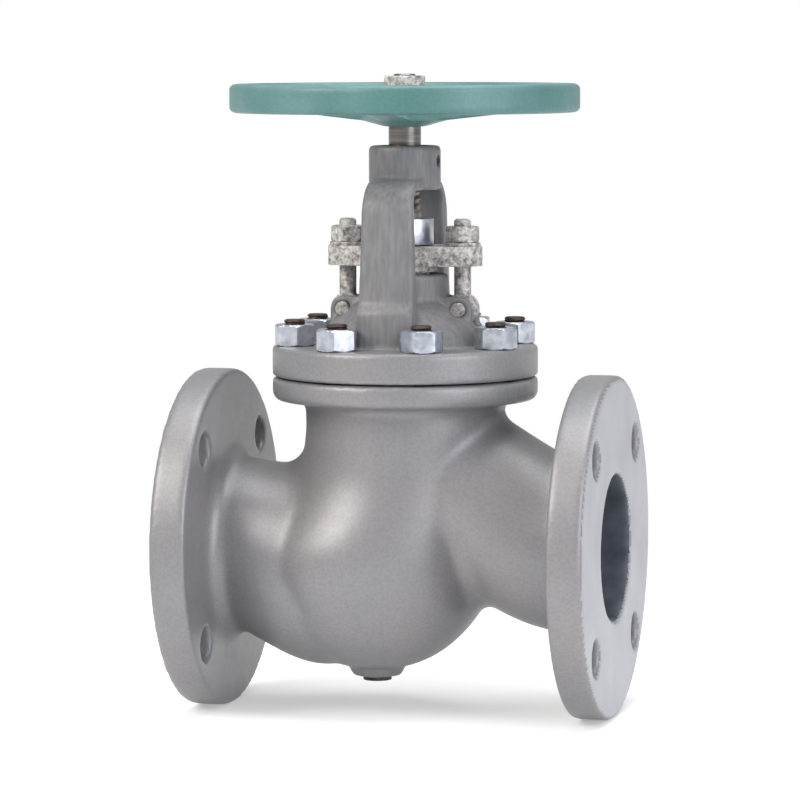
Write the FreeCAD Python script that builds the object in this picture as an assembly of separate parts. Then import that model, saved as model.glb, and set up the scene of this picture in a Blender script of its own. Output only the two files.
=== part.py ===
import FreeCAD, Part
import math
import os

# Bellows seal globe valve, 3 inch flanged size, in millimetres.
# The pipe runs along X and the stem along Z. The frame's origin is the centre of the inlet flange's face.
# The functions below place each piece by the stem: X 0 is the stem's axis and Z 0 the pipe's axis,
# and save() moves the piece into the frame.

# Pipe flanges
face_to_face = 241.0
flange_diameter = 190.5
flange_thickness = 20.0
flange_edge_chamfer = 1.0
bore_diameter = 80.0
bolt_circle = 152.4
bolt_hole_diameter = 19.0
bolt_count = 4

# Body casting
casting_wall = 9.0
pipe_neck_diameter = 98.0
outlet_root_taper = 3.5
inlet_neck_sag = 7.4
inlet_neck_swell = 6.0
inlet_root_taper = 1.5
inlet_mid_swell = 2.0
inlet_inner_swell = 3.5
inlet_mid_place = 0.8
inlet_low_place = 0.55
inlet_inner_place = 0.3
inlet_low_sag = 1.9
inlet_inner_sag = 2.0
outlet_slope = 30.0
outlet_bend_radius = 60.0
outlet_bend_reach = 35.0
outlet_neck_start = 10.0
outlet_growth_on_slope = 0.4
outlet_growth_in_bend = 0.5
chamber_gap = 2.0
belly_swell = 18.5
belly_shift = 16.5
belly_centre_drop = 5.0
swell_height = 32.0
swell_shoulder_height = 14.0
swell_shoulder_inset = 4.0
swell_start_shift = 0.04
swell_shoulder_shift = 0.66
swell_start_growth = 0.15
bridge_top = 8.0
bridge_thickness = 11.0
inlet_blend_round = 16.0
outlet_blend_round = 10.0
flange_root_round = 9.0
joint_root_chamfer = 4.0
joint_root_bite = 1.0
drain_boss_diameter = 30.0
drain_boss_stand = 3.5
drain_boss_height = 18.0
drain_boss_chamfer = 2.0
drain_plug_diameter = 16.0
drain_socket_across_flats = 7.0
drain_plug_depth = 9.0
drain_head_height = 2.5
end_cut_margin = 2.0
bowl_cut_drop = 5.0

# Body and bonnet joint
joint_edge_margin = 12.0
body_flange_top = 93.2
body_flange_thickness = 13.0
body_flange_edge = 4.0
body_flange_edge_step = 1.2
joint_gap = 0.6
bonnet_flange_thickness = 17.0
bonnet_flange_edge = 1.5
recess_inside_studs = 3.0
recess_depth = 9.7
gasket_thickness = 1.5
bellows_ring_thickness = 5.0
bonnet_stud_circle = 124.0
bonnet_stud_count = 8
bonnet_stud_diameter = 12.0
bonnet_stud_top = 125.5
stud_hole_floor = 2.7
bonnet_nut_across_flats = 21.0
bonnet_nut_height = 12.0
nut_corner_drop = 0.6
nut_corner_edge = 0.6
nut_face_share = 0.96
half_hexagon = 30.0

# Bonnet dome, stuffing box and yoke
dome_inside_studs = 12.0
dome_top = 136.0
dome_wall = 12.0
dome_roof_drop = 5.0
stuffing_box_diameter = 48.0
stuffing_box_top = 150.5
stuffing_box_bottom = 127.0
packing_diameter = 28.0
packing_ring_count = 4
packing_ring_height = 4.5
backseat_bush_diameter = 32.0
backseat_bush_height = 5.0
yoke_window_width = 68.0
yoke_window_top = 197.0
yoke_window_corner = 8.0
yoke_arm_thickness = 10.5
yoke_arm_taper = 2.5
yoke_arm_width_low = 31.0
yoke_arm_width_high = 28.0
yoke_shoulder = 203.0
yoke_shoulder_round = 20.0
yoke_foot_width = 32.0
yoke_foot_top = 134.0
yoke_hub_diameter = 40.0
yoke_hub_top = 221.6
yoke_hub_chamfer = 1.5
yoke_cut_rise = 2.5
yoke_cut_margin = 5.0
yoke_bush_diameter = 28.0
yoke_bush_inset = 0.6
set_screw_diameter = 6.0
set_screw_height = 213.0
set_screw_socket = 3.0
set_screw_bite = 1.5

# Gland
gland_bolt_reach = 33.0
gland_bolt_diameter = 9.5
bolt_end_chamfer = 1.2
gland_bolt_top = 181.0
gland_pin_diameter = 8.0
gland_pin_height = 131.0
gland_pin_length = 26.0
eye_diameter = 17.0
eye_width = 10.0
lug_wall = 6.0
lug_round = 7.0
lug_reach = 40.5
lug_slot_bottom = 121.5
gland_flange_bottom = 155.0
gland_flange_thickness = 11.0
gland_flange_middle_diameter = 40.0
gland_flange_end_diameter = 22.0
gland_follower_shoulder = 3.5
gland_follower_shoulder_diameter = 36.0
gland_washer_diameter = 20.0
gland_washer_thickness = 2.0
gland_nut_across_flats = 17.0
gland_nut_height = 9.0

# Seat, disc and bellows
port_diameter = 73.0
seat_ring_wall = 5.5
seat_ring_lip = 2.5
seat_ring_lip_height = 4.0
seat_bevel = 1.5
disc_inside_lip = 3.0
disc_edge_height = 8.0
disc_spigot_depth = 4.0
disc_boss_diameter = 38.0
disc_boss_top = 36.0
stem_button_diameter = 23.0
stem_button_height = 5.5
stem_button_bottom = 20.3
disc_nut_diameter = 30.0
bellows_outer_diameter = 52.0
bellows_inner_diameter = 30.0
bellows_collar_diameter = 54.0
bellows_wall = 0.5
bellows_crest_gap = 1.8
bellows_convolutions = 9
lower_collar_bottom = 38.0
lower_collar_height = 5.0
ring_hole_diameter = 26.0

# Stem, clamp and drive
lower_stem_diameter = 16.0
backseat_shoulder_diameter = 24.0
backseat_shoulder_height = 6.0
stem_travel = 15.5
upper_stem_diameter = 18.0
groove_depth = 2.5
groove_height = 2.5
stem_head_height = 3.0
clamp_diameter = 32.0
clamp_bottom = 166.8
clamp_height = 14.2
clamp_lip = 2.0
clamp_ear_bottom = 167.2
clamp_ear_top = 173.4
clamp_ear_thickness = 7.0
clamp_split = 0.6
clamp_screw_diameter = 4.0
clamp_screw_reach = 23.0
clamp_screw_head_diameter = 7.0
clamp_screw_head_height = 3.5
clamp_nut_across_flats = 6.0
clamp_nut_height = 3.0

# Handwheel
handwheel_diameter = 194.6
rim_height = 16.0
rim_width = 15.0
rim_bottom = 239.8
rim_outer_chamfer = 2.0
rim_inner_chamfer = 4.5
wheel_hub_bottom = 232.0
wheel_hub_top = 249.0
wheel_hub_diameter = 36.0
wheel_hub_nose_diameter = 22.0
wheel_hub_skirt_diameter = 48.0
wheel_hub_skirt_rise = 3.6
spoke_count = 4
spoke_width_hub = 22.0
spoke_width_rim = 15.0
spoke_thickness = 8.0
spoke_rim_rise = 1.0
spoke_dish = 1.6
spoke_middle_thickening = 1.0
spoke_hub_thickening = 3.0
wheel_square = 13.0
wheel_thread_diameter = 14.0
washer_diameter = 28.0
washer_thickness = 2.0
wheel_nut_across_flats = 22.0
wheel_nut_height = 9.2
upper_stem_top = 261.2

# Clearances
fit_gap = 0.05
running_gap = 0.06
seat_gap = 0.1
face_gap = 0.1
hole_gap = 0.5
guide_gap = 0.3

# Sizes that follow from the ones above
flange_radius = flange_diameter / 2
flange_back = face_to_face / 2 - flange_thickness
inlet_low_x = -flange_back * inlet_low_place
inlet_low_z = -inlet_neck_sag * inlet_low_sag
bore_radius = bore_diameter / 2
pipe_neck_radius = pipe_neck_diameter / 2
outlet_root_radius = pipe_neck_radius - outlet_root_taper
belly_radius = pipe_neck_radius + belly_swell
stud_reach = bonnet_stud_circle / 2
first_stud_angle = 180 / bonnet_stud_count
joint_flange_radius = stud_reach + joint_edge_margin
dome_radius = stud_reach - dome_inside_studs
dome_cavity_radius = dome_radius - dome_wall
yoke_foot_reach = dome_radius
seat_ring_radius = port_diameter / 2 + seat_ring_wall
seat_lip_radius = seat_ring_radius + seat_ring_lip
disc_radius = seat_lip_radius - disc_inside_lip
chamber_radius = seat_lip_radius + chamber_gap
body_neck_radius = chamber_radius + casting_wall
end_cut = joint_flange_radius + end_cut_margin
drain_boss_bottom = -(belly_centre_drop + belly_radius + drain_boss_stand)
body_flange_bottom = body_flange_top - body_flange_thickness
bonnet_flange_bottom = body_flange_top + joint_gap
bonnet_flange_top = bonnet_flange_bottom + bonnet_flange_thickness
recess_floor = body_flange_top - recess_depth
recess_radius = stud_reach - bonnet_stud_diameter / 2 - recess_inside_studs
bellows_ring_bottom = recess_floor + gasket_thickness
bellows_ring_top = bellows_ring_bottom + bellows_ring_thickness
upper_gasket_top = bellows_ring_top + gasket_thickness
bridge_bottom = bridge_top - bridge_thickness
seat_face = bridge_top + seat_ring_lip_height
lower_collar_top = lower_collar_bottom + lower_collar_height
lower_stem_radius = lower_stem_diameter / 2
upper_stem_radius = upper_stem_diameter / 2
backseat_bush_bottom = stuffing_box_bottom - backseat_bush_height
clamp_top = clamp_bottom + clamp_height
gland_flange_top = gland_flange_bottom + gland_flange_thickness
yoke_inner_face = yoke_window_width / 2

UP = FreeCAD.Vector(0, 0, 1)
ALONG = FreeCAD.Vector(1, 0, 0)
ACROSS = FreeCAD.Vector(0, 1, 0)


def point(x, y, z):
    return FreeCAD.Vector(x, y, z)


def save(name, shape):
    """Moves a piece from the stem's axis into the frame and writes its STEP file."""
    placed = shape.copy()
    placed.translate(point(face_to_face / 2, 0, 0))
    placed.exportStep("parts/" + name + ".step")


def rod(radius, low, high, x=0.0, y=0.0):
    """Upright round bar."""
    return Part.makeCylinder(radius, high - low, point(x, y, low), UP)


def tube(inner, outer, low, high):
    """Upright ring round the stem's axis."""
    return rod(outer, low, high).cut(rod(inner, low - 1, high + 1))


def bar_along(radius, start, end, y=0.0, z=0.0):
    """Round bar along the pipe."""
    return Part.makeCylinder(radius, end - start, point(start, y, z), ALONG)


def bar_across(radius, half_length, x, z):
    """Round bar across the pipe, centred on the stem's plane."""
    return Part.makeCylinder(radius, 2 * half_length, point(x, -half_length, z), ACROSS)


def block(x0, x1, y0, y1, z0, z1):
    return Part.makeBox(x1 - x0, y1 - y0, z1 - z0, point(x0, y0, z0))


def turned(outline):
    """Solid of revolution about the stem's axis from (radius, height) corners."""
    corners = [point(radius, 0, height) for radius, height in outline]
    wire = Part.makePolygon(corners + corners[:1])
    return Part.Face(wire).revolve(point(0, 0, 0), UP, 360)


def hex_bar(across_flats, low, high, x=0.0, y=0.0, turn=0.0):
    """Upright hexagonal prism with its top corners turned down, as on a nut."""
    flat = across_flats / 2
    corner = flat / math.cos(math.radians(half_hexagon))
    angles = [math.radians(60 * step + turn) for step in range(6)]
    corners = [point(corner * math.cos(angle), corner * math.sin(angle), low) for angle in angles]
    prism = Part.Face(Part.makePolygon(corners + corners[:1])).extrude(point(0, 0, high - low))
    edge_top = high - (corner - flat) * nut_corner_drop - nut_corner_edge
    cap = turned([(0, low), (corner + 1, low), (corner + 1, edge_top), (flat * nut_face_share, high), (0, high)])
    nut = prism.common(cap)
    nut.translate(point(x, y, 0))
    return nut


def around(count, radius, first=0.0):
    """Evenly spaced places on a circle: x, y and the angle in degrees."""
    places = []
    for step in range(count):
        turn = first + 360.0 * step / count
        angle = math.radians(turn)
        places.append((radius * math.cos(angle), radius * math.sin(angle), turn))
    return places


def pipe_circle(x, z, radius):
    """Round section across the pipe, as a curve that blends smoothly into the next section."""
    circle = Part.makeCircle(1, point(0, 0, 0), ALONG)
    stretch = FreeCAD.Matrix()
    stretch.scale(1, radius, radius)
    edge = circle.transformGeometry(stretch)
    edge.translate(point(x, 0, z))
    return Part.Wire(edge)


def level_circle(x, z, radius):
    return Part.Wire(Part.makeCircle(radius, point(x, 0, z), UP))


# Body casting, held as four pieces because its passage bends twice

def belly_solid():
    """Upright neck that swells into the round belly under the seat."""
    top = body_flange_bottom + body_flange_thickness / 2
    swell_start = top - swell_height
    sections = []
    for share in (0, 0.25, 0.5, 0.75):
        sections.append(level_circle(0, top + share * (swell_start - top), body_neck_radius))
    sections.append(level_circle(-belly_shift * swell_start_shift, swell_start,
                                 body_neck_radius + swell_start_growth))
    sections.append(level_circle(-belly_shift * swell_shoulder_shift, swell_shoulder_height,
                                 belly_radius - swell_shoulder_inset))
    for degrees in (0, 18, 36, 54, 70, 80):
        angle = math.radians(degrees)
        depth = -belly_centre_drop - belly_radius * math.sin(angle)
        sections.append(level_circle(-belly_shift, depth, belly_radius * math.cos(angle)))
    return Part.makeLoft(sections, True, False)


def inlet_neck():
    """Neck from the inlet flange, sagging into the belly below the seat."""
    start = -(flange_back + flange_thickness / 4)
    radius = pipe_neck_radius
    sections = [pipe_circle(start, 0, radius - inlet_root_taper),
                pipe_circle(-flange_back * inlet_mid_place, -inlet_neck_sag, radius + inlet_mid_swell),
                pipe_circle(inlet_low_x, inlet_low_z, radius + inlet_neck_swell),
                pipe_circle(-flange_back * inlet_inner_place, -inlet_neck_sag * inlet_inner_sag,
                            radius + inlet_inner_swell)]
    return Part.makeLoft(sections, True, False)


def outlet_neck():
    """Neck that leaves the body on a slope and levels out at the outlet flange, widening on the way."""
    slope = math.radians(outlet_slope)
    corner = face_to_face / 2 - outlet_bend_reach
    tangent = outlet_bend_radius * math.tan(slope / 2)
    start = outlet_neck_start
    root = outlet_root_radius
    grow = pipe_neck_radius - root
    stations = []
    for share in (0, 0.5, 1):
        x = start + share * (corner - tangent * math.cos(slope) - start)
        radius = root + outlet_growth_on_slope * share * grow
        stations.append((x, (corner - x) * math.tan(slope), slope, radius))
    bend_end = corner + tangent
    for share in (0.33, 0.67):
        turn = slope * (1 - share)
        x = bend_end - outlet_bend_radius * math.sin(turn)
        radius = root + (outlet_growth_on_slope + outlet_growth_in_bend * share) * grow
        stations.append((x, outlet_bend_radius * (1 - math.cos(turn)), turn, radius))
    stations.append((flange_back + flange_thickness / 4, 0, 0, pipe_neck_radius))
    sections = []
    for x, z, turn, radius in stations:
        heading = point(math.cos(turn), 0, -math.sin(turn))
        sections.append(Part.Wire(Part.makeCircle(radius, point(x, 0, z), heading)))
    return Part.makeLoft(sections, True, False)


def pipe_flange(side):
    """Flat faced flange; side is -1 at the inlet and 1 at the outlet."""
    flange = bar_along(flange_radius, flange_back, face_to_face / 2)
    rims = [edge for edge in flange.Edges if edge.BoundBox.YLength > flange_radius]
    flange = flange.makeChamfer(flange_edge_chamfer, [edge for edge in rims if edge.BoundBox.XLength < 0.1])
    if side < 0:
        flange = flange.mirror(point(0, 0, 0), ALONG)
    return flange


def flange_bolt_holes():
    """Holes through both pipe flanges, set either side of the upright centre line."""
    reach = face_to_face / 2 + 1
    holes = []
    for y, z, turn in around(bolt_count, bolt_circle / 2, 180 / bolt_count):
        holes.append(bar_along(bolt_hole_diameter / 2, flange_back - 1, reach, y, z))
        holes.append(bar_along(bolt_hole_diameter / 2, -reach, 1 - flange_back, y, z))
    return holes


def bonnet_joint_flange():
    """Round flange on top of the body neck that carries the bonnet's studs, with its sloping root."""
    low = body_flange_bottom
    edge = body_flange_edge
    step = body_flange_edge_step
    root = body_neck_radius + joint_root_chamfer
    inside = body_neck_radius - casting_wall / 2
    start = body_neck_radius - joint_root_bite
    start_low = low - joint_root_chamfer - joint_root_bite
    outer = joint_flange_radius
    return turned([(inside, start_low), (start, start_low), (root, low), (outer - edge, low), (outer - step, low + step), (outer, low + edge),
                   (outer, body_flange_top), (inside, body_flange_top)])


def drain_boss():
    low = drain_boss_bottom
    boss = rod(drain_boss_diameter / 2, low, low + drain_boss_height, -belly_shift)
    low_edge = [edge for edge in boss.Edges if edge.BoundBox.ZMax < low + 1]
    return boss.makeChamfer(drain_boss_chamfer, low_edge)


def ball(radius, x, z):
    """Ball centred in the stem's plane."""
    return Part.makeSphere(radius, point(x, 0, z))


def belly_ball(radius):
    """Lower part of a ball round the belly's centre, up to the top of the bridge."""
    far = belly_radius * 2
    whole = ball(radius, -belly_shift, -belly_centre_drop)
    return whole.cut(block(-far, far, -far, far, bridge_top, far))


def inlet_cavity():
    """Bore that widens and dips inside the neck's wall, and the bowl under the bridge."""
    low_radius = pipe_neck_radius + inlet_neck_swell - casting_wall
    dip = point(inlet_low_x + flange_back, 0, inlet_low_z)
    bore = bar_along(bore_radius, -face_to_face / 2 - 1, -flange_back)
    bend = ball(bore_radius, -flange_back, 0)
    passage = Part.makeCone(bore_radius, low_radius, dip.Length, point(-flange_back, 0, 0), dip)
    low_end = ball(low_radius, inlet_low_x, inlet_low_z)
    bowl = belly_ball(belly_radius - casting_wall)
    ceiling = rod(body_neck_radius, bridge_bottom, body_flange_top)
    port = rod(seat_ring_radius, bridge_bottom - casting_wall, bridge_top + 1)
    return bore.fuse([bend, passage, low_end, bowl]).cut(ceiling).fuse(port)


def outlet_cavity():
    """Chamber round the disc and the passage that falls from it over the belly to the outlet bore."""
    slope = math.radians(outlet_slope)
    corner = face_to_face / 2 - outlet_bend_reach
    rise = (corner - outlet_neck_start) * math.tan(slope)
    chamber = rod(chamber_radius, bridge_top, body_flange_top + 1)
    down = point(corner - outlet_neck_start, 0, -rise)
    passage = Part.makeCylinder(outlet_root_radius - casting_wall, down.Length,
                                point(outlet_neck_start, 0, rise), down)
    bend = ball(bore_radius, corner, 0)
    bore = bar_along(bore_radius, corner, face_to_face / 2 + 1)
    passage = passage.fuse([bend, bore])
    floor = belly_ball(belly_radius)
    return chamber.fuse(passage.cut(floor))


def rounded(shape, radius, chosen):
    """Fillets the edges that the test picks by their bounding box."""
    return shape.makeFillet(radius, [edge for edge in shape.Edges if chosen(edge.BoundBox)])


def body_outside():
    """Outer form of the casting, with the necks blended into the belly and into their flanges."""
    shell = belly_solid().fuse([inlet_neck(), outlet_neck()]).removeSplitter()
    half_pipe = pipe_neck_radius / 2
    shell = rounded(shell, outlet_blend_round,
                    lambda box: box.XMin > 0 and box.XMax < flange_back * 0.7 and box.YLength > half_pipe
                    and box.ZLength > half_pipe)
    shell = rounded(shell, inlet_blend_round,
                    lambda box: box.XMin > -flange_back * 0.8 and box.XMax < 0 and box.YLength > half_pipe
                    and box.ZLength > half_pipe)
    shell = shell.fuse([pipe_flange(-1), pipe_flange(1), bonnet_joint_flange()])
    shell = rounded(shell, flange_root_round,
                    lambda box: box.XLength < 0.1 and abs(abs(box.XMin) - flange_back) < 0.1
                    and pipe_neck_radius * 0.9 < box.ZMax < pipe_neck_radius * 1.2)
    return shell.fuse(drain_boss())


def body():
    """Cast body: two flanged necks, the S-shaped passage with its bridge, and the bonnet flange."""
    casting = body_outside()
    casting = casting.cut(flange_bolt_holes())
    casting = casting.cut(inlet_cavity())
    casting = casting.cut(outlet_cavity())
    casting = casting.cut(rod(recess_radius, recess_floor, body_flange_top + 1))
    for x, y, turn in around(bonnet_stud_count, stud_reach, first_stud_angle):
        hole = rod(bonnet_stud_diameter / 2 + fit_gap, body_flange_bottom + stud_hole_floor,
                   body_flange_top + 1, x, y)
        casting = casting.cut(hole)
    plug_hole = rod(drain_plug_diameter / 2 + fit_gap, drain_boss_bottom - 1,
                    drain_boss_bottom + drain_plug_depth, -belly_shift)
    return casting.cut(plug_hole).removeSplitter()


def body_pieces():
    """The one casting, held as simple pieces that meet face to face: both flanged ends, neck and bowl."""
    casting = body()
    far = face_to_face
    cut_height = bridge_bottom - bowl_cut_drop
    middle = casting.common(block(-end_cut, end_cut, -far, far, -far, far))
    return {"body_inlet_end": casting.common(block(-far, -end_cut, -far, far, -far, far)),
            "body_outlet_end": casting.common(block(end_cut, far, -far, far, -far, far)),
            "body_neck": middle.common(block(-far, far, -far, far, cut_height, far)),
            "body_bowl": middle.common(block(-far, far, -far, far, -far, cut_height))}


def drain_plug():
    head_low = drain_boss_bottom - drain_head_height
    shank = rod(drain_plug_diameter / 2, head_low, drain_boss_bottom + drain_plug_depth - 1, -belly_shift)
    socket = hex_bar(drain_socket_across_flats, head_low - 1, head_low + 4, -belly_shift)
    return shank.cut(socket)


def seat_ring():
    """Ring screwed into the bridge, with a lip that carries the seat face."""
    outer = seat_ring_radius - fit_gap
    lip = seat_lip_radius
    port = port_diameter / 2
    return turned([(port, bridge_bottom), (outer, bridge_bottom), (outer, bridge_top),
                   (lip, bridge_top), (lip, seat_face - 1), (lip - 1, seat_face),
                   (port + seat_bevel, seat_face), (port, seat_face - seat_bevel)])


# Moving inner pieces

def disc():
    """Plug disc with a spigot in the port and a hollow boss that holds the stem's button."""
    low = seat_face + seat_gap
    edge = disc_radius
    spigot = port_diameter / 2 - 1.2
    boss = disc_boss_diameter / 2
    nut = disc_nut_diameter / 2
    floor = stem_button_bottom - face_gap
    nut_low = stem_button_bottom + stem_button_height + face_gap
    return turned([(0, low - disc_spigot_depth), (spigot - 2, low - disc_spigot_depth), (spigot, low - 2),
                   (spigot, low), (edge, low), (edge, low + disc_edge_height), (boss + 4, disc_boss_top - 8),
                   (boss, disc_boss_top - 4), (boss, disc_boss_top), (nut, disc_boss_top), (nut, nut_low),
                   (stem_button_diameter / 2 + fit_gap, nut_low), (stem_button_diameter / 2 + fit_gap, floor),
                   (0, floor)])


def disc_nut():
    """Ring nut screwed into the disc's boss over the stem's button."""
    low = stem_button_bottom + stem_button_height + face_gap
    return tube(lower_stem_radius + fit_gap, disc_nut_diameter / 2 - fit_gap, low, disc_boss_top)


def bellows_lower_collar():
    """End ring at the bellows' moving end, welded to the stem."""
    outer = bellows_collar_diameter / 2
    inner = lower_stem_radius + fit_gap
    return turned([(inner, lower_collar_bottom), (outer - 2, lower_collar_bottom),
                   (outer, lower_collar_bottom + 2), (outer, lower_collar_top), (inner, lower_collar_top)])


def bellows():
    """Convoluted metal sleeve between the moving collar and the fixed ring."""
    wall = bellows_wall
    crest = bellows_outer_diameter / 2
    root = bellows_inner_diameter / 2 + wall
    pitch = (bellows_ring_bottom - lower_collar_top) / bellows_convolutions
    land = bellows_crest_gap / 2
    outside = [(root, lower_collar_top)]
    inside = [(root - wall, lower_collar_top)]
    for turn in range(bellows_convolutions):
        low = lower_collar_top + turn * pitch
        high = low + pitch
        outside += [(root, low + land), (crest, low + land), (crest, high - land), (root, high - land)]
        inside += [(root - wall, low + land + wall), (crest - wall, low + land + wall),
                   (crest - wall, high - land - wall), (root - wall, high - land - wall)]
    outside.append((root, bellows_ring_bottom))
    inside.append((root - wall, bellows_ring_bottom))
    return turned(outside + inside[::-1])


def lower_stem():
    """Stem that slides but doesn't turn, with its button, backseat shoulder and clamp groove."""
    radius = lower_stem_radius
    button = stem_button_diameter / 2
    button_top = stem_button_bottom + stem_button_height
    shoulder_top = backseat_bush_bottom - stem_travel - seat_gap * 3
    shoulder = backseat_shoulder_diameter / 2
    shoulder_low = shoulder_top - backseat_shoulder_height
    groove_low = clamp_bottom + clamp_lip - face_gap
    groove_high = groove_low + groove_height
    head_top = groove_high + stem_head_height
    neck = radius - groove_depth
    return turned([(0, stem_button_bottom), (button, stem_button_bottom), (button, button_top),
                   (radius, button_top), (radius, shoulder_low), (shoulder, shoulder_low + 3),
                   (shoulder, shoulder_top - 2), (shoulder - 2, shoulder_top), (radius, shoulder_top),
                   (radius, groove_low), (neck, groove_low), (neck, groove_high), (radius, groove_high),
                   (radius, head_top), (0, head_top)])


def clamp_sleeve():
    """Whole clamp before it is split: a grooved sleeve with two ears that slide between the yoke's arms."""
    lower = lower_stem_radius + fit_gap
    upper = upper_stem_radius + running_gap
    lower_neck = lower_stem_radius - groove_depth + fit_gap
    upper_neck = upper_stem_radius - groove_depth + running_gap
    groove = clamp_bottom + clamp_lip
    groove_top = groove + groove_height - 2 * face_gap
    head_top = upper_head_top() + face_gap
    upper_lip = head_top + groove_height - 2 * face_gap
    outer = clamp_diameter / 2
    sleeve = turned([(lower, clamp_bottom), (outer, clamp_bottom), (outer, clamp_top), (upper, clamp_top),
                     (upper, upper_lip), (upper_neck, upper_lip), (upper_neck, head_top), (upper, head_top),
                     (upper, groove_top), (lower_neck, groove_top), (lower_neck, groove), (lower, groove)])
    half = clamp_ear_thickness
    ear_end = yoke_inner_face - guide_gap
    ears = block(-half, half, -ear_end, ear_end, clamp_ear_bottom, clamp_ear_top)
    ears = ears.cut(rod(outer - 3, clamp_ear_bottom - 1, clamp_ear_top + 1))
    return sleeve.fuse(ears)


def upper_head_low():
    """Underside of the upper stem's head, just above the lower stem's head."""
    lower_head_top = clamp_bottom + clamp_lip - face_gap + groove_height + stem_head_height
    return lower_head_top + 2 * face_gap


def upper_head_top():
    return upper_head_low() + stem_head_height


def clamp_half(side):
    """One half of the split clamp; side is -1 at the inlet and 1 at the outlet."""
    reach = clamp_diameter
    near = clamp_split / 2
    if side > 0:
        keep = block(near, reach, -reach * 2, reach * 2, clamp_bottom - 1, clamp_top + 1)
    else:
        keep = block(-reach, -near, -reach * 2, reach * 2, clamp_bottom - 1, clamp_top + 1)
    half = clamp_sleeve().common(keep)
    height = (clamp_ear_bottom + clamp_ear_top) / 2
    for y in (-clamp_screw_reach, clamp_screw_reach):
        half = half.cut(bar_along(clamp_screw_diameter / 2 + fit_gap, -reach, reach, y, height))
    return half


def clamp_screws():
    """Cap screws through the ears, with their heads on the outlet side."""
    height = (clamp_ear_bottom + clamp_ear_top) / 2
    screws = []
    for y in (-clamp_screw_reach, clamp_screw_reach):
        shank = bar_along(clamp_screw_diameter / 2, -clamp_ear_thickness - clamp_nut_height - 1.5,
                          clamp_ear_thickness, y, height)
        head = bar_along(clamp_screw_head_diameter / 2, clamp_ear_thickness,
                         clamp_ear_thickness + clamp_screw_head_height, y, height)
        socket = hex_bar(3, 0, 2)
        socket.rotate(point(0, 0, 0), ACROSS, 90)
        socket.translate(point(clamp_ear_thickness + clamp_screw_head_height - 2, y, height))
        screws.append(shank.fuse(head).cut(socket))
    return Part.makeCompound(screws)


def clamp_nuts():
    height = (clamp_ear_bottom + clamp_ear_top) / 2
    nuts = []
    for y in (-clamp_screw_reach, clamp_screw_reach):
        nut = hex_bar(clamp_nut_across_flats, 0, clamp_nut_height)
        nut.rotate(point(0, 0, 0), ACROSS, -90)
        nut.translate(point(-clamp_ear_thickness, y, height))
        hole = bar_along(clamp_screw_diameter / 2 + fit_gap, -clamp_ear_thickness * 3, 0, y, height)
        nuts.append(nut.cut(hole))
    return Part.makeCompound(nuts)


# Bonnet with its yoke

def dome():
    """Flange, ball shaped dome and stuffing box, turned about the stem's axis."""
    box = stuffing_box_diameter / 2
    low = upper_gasket_top
    spigot = recess_radius - fit_gap
    outer = joint_flange_radius
    edges = []
    corners = [(0, low), (spigot, low), (spigot, bonnet_flange_bottom),
               (outer, bonnet_flange_bottom), (outer, bonnet_flange_top - bonnet_flange_edge),
               (outer - bonnet_flange_edge, bonnet_flange_top), (dome_radius, bonnet_flange_top)]
    for start, end in zip(corners, corners[1:]):
        edges.append(Part.makeLine(point(start[0], 0, start[1]), point(end[0], 0, end[1])))
    rise = dome_top - bonnet_flange_top
    shoulder = point(dome_radius, 0, bonnet_flange_top)
    crown = point(box, 0, dome_top)
    centre_drop = (dome_radius ** 2 - box ** 2 - rise ** 2) / (2 * rise)
    ball = math.hypot(dome_radius, centre_drop)
    half_way = (dome_radius + box) / 2
    bulge = point(half_way, 0, bonnet_flange_top - centre_drop + math.sqrt(ball ** 2 - half_way ** 2))
    edges.append(Part.Arc(shoulder, bulge, crown).toShape())
    top = [(box, dome_top), (box, stuffing_box_top - 1), (box - 1, stuffing_box_top),
           (0, stuffing_box_top), (0, low)]
    for start, end in zip(top, top[1:]):
        edges.append(Part.makeLine(point(start[0], 0, start[1]), point(end[0], 0, end[1])))
    return Part.Face(Part.Wire(edges)).revolve(point(0, 0, 0), UP, 360)


def dome_hollow():
    """Space above the bellows ring, backseat seating and packing bore."""
    cavity = dome_cavity_radius
    bush = backseat_bush_diameter / 2 + fit_gap
    box = packing_diameter / 2 + fit_gap
    low = upper_gasket_top - 1
    return turned([(0, low), (cavity, low), (cavity, bonnet_flange_top - dome_roof_drop),
                   (bush + 4, backseat_bush_bottom - 4),
                   (bush, backseat_bush_bottom - 4), (bush, stuffing_box_bottom), (box, stuffing_box_bottom),
                   (box, stuffing_box_top + 1), (0, stuffing_box_top + 1)])


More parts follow.
